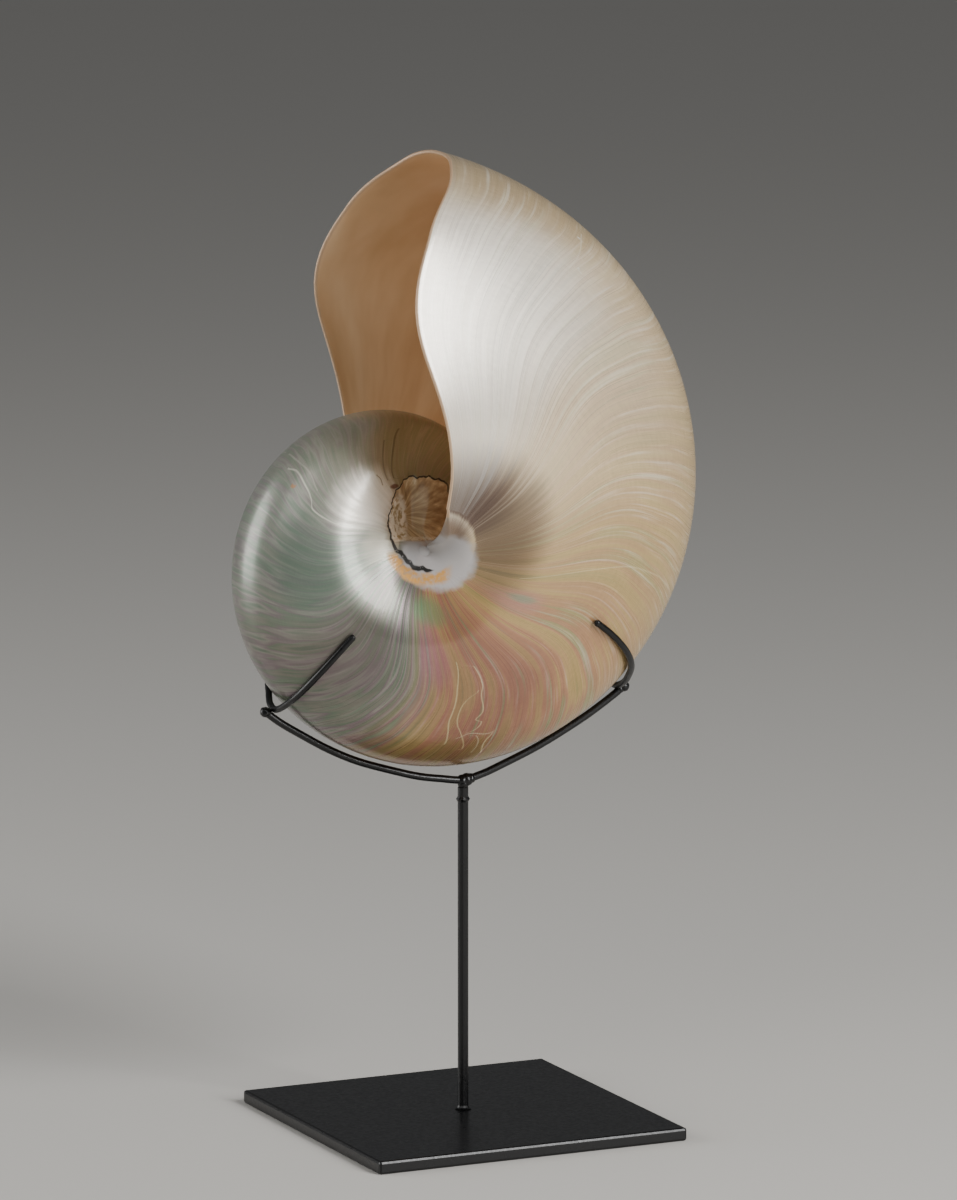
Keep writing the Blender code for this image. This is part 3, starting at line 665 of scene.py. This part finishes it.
def dressUmbilicus(tree, colour, growth):  # also returns where there is no pearl gloss
    plane = add(tree, "ShaderNodeAttribute", attribute_name="plane").outputs["Vector"]
    rim = Field(tree, add(tree, "ShaderNodeAttribute", attribute_name="rim").outputs["Fac"])
    parts = add(tree, "ShaderNodeSeparateXYZ", {0: plane})
    x, z = Field(tree, parts.outputs[0]), Field(tree, parts.outputs[2])

    def noise(scale, detail=3.0, vector=plane):
        made = add(tree, "ShaderNodeTexNoise", {"Vector": vector, "Scale": scale, "Detail": detail})
        return Field(tree, made.outputs[0])

    def share(value, low, high, to=(0.0, 1.0)):
        return Field(tree, spread(tree, value, low, high, to))

    older = share(growth, *umbilicus["older"])
    grain, crackle = noise(0.45, 4.0), noise(1.6)

    def oval(name):  # 1 on the oval's outline
        midX, midZ, halfX, halfZ, wobble = umbilicus[name]
        away = (((x - midX) / halfX).squared() + ((z - midZ) / halfZ).squared()).op("SQRT")
        return (grain - 0.5) * wobble + away

    callus = share(oval("callusOval"), 1.14, 0.84)
    colour = mixColour(tree, callus * 0.92, colour, umbilicus["callus"])
    ring = oval("crustOval")
    crust = share(ring, 6.8, 8.2) * share(ring, 11.6, 10.0) * share(z, 0.5, -2.0) * share(x, 7.0, 4.0)
    crust = crust * share(noise(0.9, 2.0), 0.32, 0.58, (0.50, 1.0))
    colour = mixColour(tree, crust * 0.95, colour, umbilicus["crust"])
    lining = share(rim, 1.0, 0.96) * older * share(z, 2.0, 2.7)
    awayX, awayZ = x - umbilicus["silkX"], z - umbilicus["silkZ"]
    fan = add(tree, "ShaderNodeCombineXYZ", {0: awayZ.op("ARCTAN2", awayX) * umbilicus["silkFibres"],
                                             1: (awayX.squared() + awayZ.squared()) * umbilicus["silkRings"]})
    brown = stops(tree, noise(1.0, 4.0, fan), umbilicus["silk"])
    # painted highlight: the hollow's left wall is pearly nacre, made near white to stand for light falling on
    # it
    pearl = share(oval("pearlOval"), 1.15, 0.75)
    foil = mixColour(tree, share(noise(0.55, 5.0), 0.44, 0.62), umbilicus["pearl"], umbilicus["foil"])
    colour = mixColour(tree, lining, colour, mixColour(tree, pearl, brown, foil))
    border = share((z - umbilicus["borderZ"]).op("ABSOLUTE"), 0.5, 0.2) * share(rim, 1.0, 0.9) * older
    border = border * share(crackle, 0.35, 0.5)
    colour = mixColour(tree, border * 0.7, colour, umbilicus["border"])
    half = share(z, 14.0, -3.0, umbilicus["lineHalf"]) * older
    line = share((rim - umbilicus["lineAt"]).op("ABSOLUTE"), half, half * 0.4) * share(x, 12.0, 9.0)
    line = line * share(crackle, 0.30, 0.42, (0.5, 1.0))
    stain = share(oval("stainOval"), 1.1, 0.6) * older
    colour = mixColour(tree, stain * 0.8, colour, umbilicus["stain"])
    colour = mixColour(tree, line, colour, umbilicus["rimLine"])
    lack = callus.op("MAXIMUM", crust).op("MAXIMUM", line)
    return colour, lack.op("MAXIMUM", lining * (0.8 - pearl * 0.8)).op("MINIMUM", 1.0)


def strokeMask(tree, growth, across, halfWidth, perDegree, over, points):
    # a curve holds the stroke's path, scaled into 0 to 1, and stands at 1, far off, before and after it
    overGrowth = over == "growth"
    runsOver, strays = (growth, across) if overGrowth else (across, growth)
    inShare, outShare, gap = (1 / 360.0, 0.8, 0.36) if overGrowth else (1.0, 1 / 500.0, 0.004)
    node = add(tree, "ShaderNodeFloatCurve", {1: sums(tree, "MULTIPLY", runsOver, inShare)})
    curve = node.mapping.curves[0]
    curve.points[0].location = (0.0, 1.0)
    curve.points[1].location = (1.0, 1.0)
    for place, value in ((points[0][0] - gap, None), *points, (points[-1][0] + gap, None)):
        curve.points.new(place * inShare, 1.0 if value is None else value * outShare)
    for point in curve.points:
        point.handle_type = "VECTOR" if point.location[1] > 0.995 else "AUTO_CLAMPED"
    node.mapping.update()
    toMm = perDegree * (nacre["widthInDegrees"] if overGrowth else 1.0)
    away = sums(tree, "MULTIPLY", sums(tree, "MULTIPLY_ADD", node.outputs[0], -1.0 / outShare, strays), toMm)
    return spread(tree, sums(tree, "ABSOLUTE", away), halfWidth, 0.3 * halfWidth)


def makeNacre():
    material, tree, shader = newMaterial("polishedNacre")
    growth, across = growthCoordinates(tree)
    fine, bands, broad, veils, spiral, wisps, wrinkles = [
        Field(tree, growthNoise(tree, growth, across, *nacre[name]))
        for name in ("fineLines", "bandLines", "broadBands", "veils", "spiralLines", "wisps", "wrinkles")]
    turnShare = sums(tree, "DIVIDE", growth, 360.0)

    def overTurn(name):
        return stops(tree, turnShare, [(place / 360.0, value) for place, value in nacre[name]])

    hue = bands.op("MULTIPLY_ADD", nacre["bandShare"], broad * (1.0 - nacre["bandShare"]))
    coolHue = veils.op("MULTIPLY_ADD", nacre["veilShare"], hue * (1.0 - nacre["veilShare"]))
    tints = mixColour(tree, spread(tree, growth, *nacre["coolFrom"]), stops(tree, hue, nacre["warmTints"]),
                      stops(tree, coolHue, nacre["coolTints"]))
    colour = mixColour(tree, overTurn("tintShare"), overTurn("body"), tints)
    wave = bands.op("MULTIPLY_ADD", nacre["patchWave"], -0.5 * nacre["patchWave"])
    for place in nacre["patches"]:
        mask = patchMask(tree, growth, across, wave, place)
        colour = mixColour(tree, sums(tree, "MULTIPLY", mask, place[5]), colour, place[4])
    relief = spiral.op("MULTIPLY_ADD", nacre["spiralRelief"], fine)
    for halfWidth, tone, amount, height, perDegree, over, points in scars:
        mask = strokeMask(tree, growth, across, halfWidth, perDegree, over, points)
        colour = mixColour(tree, sums(tree, "MULTIPLY", mask, amount), colour, tone)
        if height:
            relief = sums(tree, "MULTIPLY_ADD", mask, height, relief)
    quiet = Field(tree, spread(tree, across, *nacre["quietHollow"]))
    quiet = quiet * spread(tree, growth, *nacre["quietWhorl"])
    mingled = fine * 0.30 + bands * 0.35 + wisps * 0.35
    shade = Field(tree, spread(tree, mingled, 0.42, 0.58, nacre["lineShade"]))
    shade = (shade + (wrinkles - 0.5) * nacre["wrinkleShade"]) * quiet + 1.0
    grey = add(tree, "ShaderNodeCombineXYZ", {0: shade, 1: shade, 2: shade}).outputs[0]
    colour = mixColour(tree, 1.0, colour, grey, "MULTIPLY")
    pale = Field(tree, spread(tree, mingled, 0.51, 0.62)) * spread(tree, growth, *nacre["paleShare"]) * quiet
    colour = mixColour(tree, pale, colour, mixColour(tree, 0.6, colour, nacre["pale"]))
    colour, bare = dressUmbilicus(tree, colour, growth)
    tree.links.new(colour, shader.inputs["Base Color"])
    bump = add(tree, "ShaderNodeBump", {"Strength": nacre["bump"], "Distance": nacre["bumpDepth"] * mm,
                                        "Height": relief})
    tree.links.new(bump.outputs[0], shader.inputs["Normal"])
    gloss = spread(tree, fine, 0.3, 0.7, nacre["roughness"], False)
    soft = Field(tree, spread(tree, growth, *nacre["olderRoughness"]))
    tree.links.new((soft + gloss + bare * nacre["bareRoughness"]).socket, shader.inputs["Roughness"])
    tree.links.new(sums(tree, "MULTIPLY", overTurn("metallic"), 1.0 - bare), shader.inputs["Metallic"])
    for name, key in (("Coat Weight", "coat"), ("Coat Roughness", "coatRoughness"), ("IOR", "ior")):
        shader.inputs[name].default_value = nacre[key]
    return material


# The chamber's wall: nacre left as it grew, seen as a dull warm satin, paler on the edge of the lip

chamber = {
    "roughness": 0.38, "metallic": 0.15, "coat": 0.2, "coatRoughness": 0.2,
    "bands": (5.0, 6.0, 3.0, 3.0, 0.55), "body": ((0.28, "#d2aa7c"), (0.50, "#e2be92"), (0.72, "#efd0a8")),
    "lip": "#cfae8c", "lipFrom": (0.4, 0.15),  # degrees of growth
    # a deeper orange tint near the keel, just inside the lip
    "deepOrange": "#c98f5c", "deepOrangePatch": (20.0, 0.10, 22.0, 0.16), "deepOrangeShare": 0.35,
}


def makeChamberNacre():
    material, tree, shader = newMaterial("chamberNacre")
    growth, across = growthCoordinates(tree)
    body = stops(tree, growthNoise(tree, growth, across, *chamber["bands"]), chamber["body"])
    colour = mixColour(tree, spread(tree, growth, *chamber["lipFrom"]), body, chamber["lip"])
    deepOrange = patchMask(tree, growth, across, 0.0, chamber["deepOrangePatch"])
    deepOrange = sums(tree, "MULTIPLY", deepOrange, chamber["deepOrangeShare"])
    tree.links.new(mixColour(tree, deepOrange, colour, chamber["deepOrange"]), shader.inputs["Base Color"])
    for name, key in (("Roughness", "roughness"), ("Metallic", "metallic"), ("Coat Weight", "coat"),
                      ("Coat Roughness", "coatRoughness")):
        shader.inputs[name].default_value = chamber[key]
    return material


pointTree = shellPointTree()
shellPiece = shapedPiece("nautilusShell", makeGrid(), shellTree(pointTree),
                        {"outerNacre": makeNacre(), "chamberNacre": makeChamberNacre()})
volume, triangles = signedVolume(shellPiece.data)
if volume < 0:
    shellPiece.data.flip_normals()
finishPiece(shellPiece, "shell")
print("shell shaped", triangles, "triangles, volume in ml", round(abs(volume) * 1e6, 1))


# Satin black paint on mild steel rod and plate, seen as a dark soft sheen with fine grain in it

paint = {
    "colour": "#080809", "specular": 0.35, "coat": 0.15, "coatRoughness": 0.15,
    "grain": 900.0, "grainRoughness": ((0.3, 0.26), (0.7, 0.42)), "bump": 0.15, "bumpDepth": 0.1,
}


def makePaint():
    material, tree, shader = newMaterial("satinBlackPaint")
    place = add(tree, "ShaderNodeTexCoord").outputs["Object"]
    grain = add(tree, "ShaderNodeTexNoise", {"Vector": place, "Scale": paint["grain"], "Detail": 3.0})
    tree.links.new(stops(tree, grain.outputs[0], paint["grainRoughness"]), shader.inputs["Roughness"])
    shader.inputs["Base Color"].default_value = hexColour(paint["colour"])
    for name, key in (("Specular IOR Level", "specular"), ("Coat Weight", "coat"),
                      ("Coat Roughness", "coatRoughness")):
        shader.inputs[name].default_value = paint[key]
    bump = add(tree, "ShaderNodeBump", {"Strength": paint["bump"], "Distance": paint["bumpDepth"] * mm,
                                        "Height": grain.outputs[0]})
    tree.links.new(bump.outputs[0], shader.inputs["Normal"])
    return material


# The cradle: bent wires that follow the keel and the flanks, with weld beads, all made by one tree

cradle = {  # lengths in mm, angles in degrees
    "spineRadius": 1.15, "clawRadius": 1.0, "unevenness": 0.10, "waves": 240.0, "seed": 3.0,
    # keel angle, and clearance from the keel to the wire's middle
    "spine": ((229.0, 5.6), (234.0, 4.6), (240.5, 3.3), (249.5, 2.5), (258.5, 2.3), (269.0, 2.7),
              (274.5, 3.6), (279.5, 4.4), (284.6, 5.6), (289.0, 5.1), (294.0, 4.1), (304.0, 3.2),
              (314.5, 3.6), (321.0, 4.6), (325.5, 5.6)),
    # weld beads: keel angle, clearance and radius
    "spineBeads": ((229.0, 5.7, 1.55), (229.5, 5.2, 1.30), (325.5, 5.7, 1.55), (324.6, 5.2, 1.30),
                   (284.6, 5.7, 1.75), (285.6, 5.7, 1.95), (286.5, 5.6, 1.55), (284.6, 6.8, 1.65)),
    # keel angle, angle gained by each tip, place across at each tip, clearance at the keel
    "claws": {"left_claw": (231.0, -5.5, 0.359, 3.0), "right_claw": (325.0, 10.8, 0.317, 3.0)},
    "clawPoints": 12, "rest": 1.3, "restFrom": 0.10,
    "splineSteps": 6, "wireSides": 20, "beadRounds": 4, "beadUneven": 0.5, "tipRound": 0.995,
}
guideValues = ("angle", "across", "side", "lift", "rests", "bead")
offShell = (5.0, 0.0, 1.0, 0.0, 0.0)  # a guide's first five values, where it doesn't rest on the shell


def wireTree(pointTree):  # makes a guide's edges a round wire, its loose points beads
    own = {name: cradle[name] for name in ("unevenness", "waves", "seed", "beadUneven")}
    sizes = {**shell, "wireRadius": cradle["clawRadius"], **own}
    tree, size, result = newTree("bentWire", sizes, (("guide", "Geometry"), ("paint", "Material")),
                                 (("wire", "Geometry"),))
    vector, value = vectorMaker(tree), namedValues(tree, guideValues)
    _, here, _, inward = onShell(tree, size, pointTree, value["angle"], value["across"], value["side"])
    resting = vector("SUBTRACT", here, vector("SCALE", inward, scale=value["lift"]))
    given = add(tree, "GeometryNodeInputPosition").outputs[0]
    place = vector("ADD", given, vector("SCALE", vector("SUBTRACT", resting, given), scale=value["rests"]))
    placed = add(tree, "GeometryNodeSetPosition", {"Geometry": size["guide"],
                                                   "Position": standing(tree, size, place)})

    def noise(scale, seed):
        return Field(tree, add(tree, "ShaderNodeTexNoise", {"W": seed, "Scale": scale, "Detail": 2.0},
                               noise_dimensions="4D").outputs[0])

    lines = add(tree, "GeometryNodeMeshToCurve", {"Mesh": placed})
    lines = add(tree, "GeometryNodeCurveSplineType", {"Curve": lines}, spline_type="CATMULL_ROM")
    lines = add(tree, "GeometryNodeSetSplineResolution", {"Geometry": lines,
                                                          "Resolution": cradle["splineSteps"]})
    thick = (noise(size["waves"], size["seed"]) - 0.5) * size["unevenness"] + 1.0
    lines = add(tree, "GeometryNodeSetCurveRadius", {"Curve": lines, "Radius": thick})
    ring = add(tree, "GeometryNodeCurvePrimitiveCircle", {"Resolution": cradle["wireSides"],
                                                          "Radius": size["wireRadius"] * mm})
    tube = add(tree, "GeometryNodeCurveToMesh", {"Curve": lines, "Profile Curve": ring, "Fill Caps": True})
    points = add(tree, "GeometryNodeMeshToPoints", {"Mesh": placed,
                                                    "Selection": value["bead"].op("GREATER_THAN", 0.0)})
    ball = add(tree, "GeometryNodeMeshIcoSphere", {"Radius": mm, "Subdivisions": cradle["beadRounds"]})
    beads = add(tree, "GeometryNodeInstanceOnPoints", {"Points": points, "Instance": ball,
                                                       "Scale": value["bead"]})
    beads = add(tree, "GeometryNodeRealizeInstances", {"Geometry": beads})
    bulge = (noise(size["waves"] * 3.0, size["seed"]) - 0.5) * (size["beadUneven"] * mm)
    outward = vector("SCALE", add(tree, "GeometryNodeInputNormal").outputs[0], scale=bulge)
    beads = add(tree, "GeometryNodeSetPosition", {"Geometry": beads, "Offset": outward})
    joined = add(tree, "GeometryNodeJoinGeometry", {0: tube})
    tree.links.new(beads.outputs[0], joined.inputs[0])
    made = add(tree, "GeometryNodeSetShadeSmooth", {"Geometry": joined})
    made = add(tree, "GeometryNodeRealizeInstances", {"Geometry": made})
    made = add(tree, "GeometryNodeSetMaterial", {"Geometry": made, "Material": size["paint"]})
    tree.links.new(made.outputs[0], result.inputs[0])
    return tree


def keelPoint(angle, clearance):  # in mm from the shell's axis
    angle = math.radians(angle)
    turned = angle - shell["lipAngle"] - 2 * math.pi
    reach = shell["lipRadius"] * math.exp(shell["growth"] * turned) + clearance
    return (reach * math.cos(angle), 0.0, reach * math.sin(angle))


def guideMesh(name, route, beads):  # rows are a place and then the guide's values
    mesh = bpy.data.meshes.new(name)
    rows = route + beads
    mesh.from_pydata([row[0] for row in rows], [(i, i + 1) for i in range(len(route) - 1)], [])
    for i, title in enumerate(guideValues):
        attribute = mesh.attributes.new(title, "FLOAT", "POINT")
        attribute.data.foreach_set("value", [float(row[1][i]) for row in rows])
    return mesh


def spineGuide():
    route = [(keelPoint(*place), offShell + (0.0,)) for place in cradle["spine"]]
    beads = [(keelPoint(angle, clearance), offShell + (radius,))
             for angle, clearance, radius in cradle["spineBeads"]]
    return guideMesh("cradleSpine", route, beads)


def clawGuide(keelAngle, gain, tip, clearance):
    route = []
    for k in range(-cradle["clawPoints"], cradle["clawPoints"] + 1):
        share = abs(k) / cradle["clawPoints"]
        across = max(tip * share, 1e-4)
        hug = min(across / cradle["restFrom"], 1.0)
        hug = hug * hug * (3.0 - 2.0 * hug)
        angle = math.radians(keelAngle + gain * share - float(leadOf(across)))
        lift = clearance * (1.0 - hug) + cradle["rest"] * hug
        route.append(((0.0, 0.0, 0.0), (angle, across, 1.0 if k > 0 else -1.0, lift, 1.0, 0.0)))
    tipBead = cradle["clawRadius"] * cradle["tipRound"]
    ends = [(place, values[:5] + (tipBead,)) for place, values in (route[0], route[-1])]
    return guideMesh("claw", route, ends)


blackPaint = makePaint()
wire = wireTree(pointTree)
spinePiece = shapedPiece("cradleSpine", spineGuide(), wire,
                         {"paint": blackPaint, "wireRadius": cradle["spineRadius"]})
finishPiece(spinePiece, "cradle_spine")
for name, sizes in cradle["claws"].items():
    claw = shapedPiece(name + "Wire", clawGuide(*sizes), wire,
                       {"paint": blackPaint, "wireRadius": cradle["clawRadius"]})
    finishPiece(claw, name)
print("cradle bent")
for name in ("base_plate", "post"):
    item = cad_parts[name]
    for slot in item.material_slots:
        slot.material = blackPaint
print("stand painted")


# Floor, world and studio lights

studio = {  # metres, degrees and watts
    "floorSide": 6.0, "floorColour": "#d8d5cf", "floorRoughness": 0.6,
    "worldColour": "#d9dadb", "worldStrength": 0.18, "aimHeight": 0.19,
    # turn from the plate's front, height above level, distance, width, height and power
    "lights": {"keyLight": (23.0, 24.0, 1.3, 0.42, 0.95, 22.0),
               "rimLight": (-118.0, 6.0, 1.2, 0.80, 1.00, 11.0),
               "fillLight": (-50.0, 35.0, 1.8, 0.90, 0.90, 3.5)},
}


def makeStudio():
    bpy.ops.mesh.primitive_plane_add(size=studio["floorSide"], location=(0.0, 0.0, 0.0))
    floor = bpy.context.object
    floor.name = "floor"
    material, tree, shader = newMaterial("paleFloor")
    shader.inputs["Base Color"].default_value = hexColour(studio["floorColour"])
    shader.inputs["Roughness"].default_value = studio["floorRoughness"]
    floor.data.materials.append(material)
    world = bpy.data.worlds.new("studio")
    world.use_nodes = True
    world.node_tree.nodes["Background"].inputs[0].default_value = hexColour(studio["worldColour"])
    world.node_tree.nodes["Background"].inputs[1].default_value = studio["worldStrength"]
    bpy.context.scene.world = world
    target = Vector((0.0, 0.0, studio["aimHeight"]))
    for name, (azimuth, elevation, away, width, height, power) in studio["lights"].items():
        a, e = math.radians(azimuth), math.radians(elevation)
        offset = Vector((math.sin(a) * math.cos(e), -math.cos(a) * math.cos(e), math.sin(e)))
        data = bpy.data.lights.new(name, "AREA")
        data.shape = "RECTANGLE"
        data.size = width
        data.size_y = height
        data.energy = power
        light = bpy.data.objects.new(name, data)
        light.location = target + away * offset
        light.rotation_euler = (-offset).to_track_quat("-Z", "Y").to_euler()
        bpy.context.scene.collection.objects.link(light)


makeStudio()
print("studio lit")
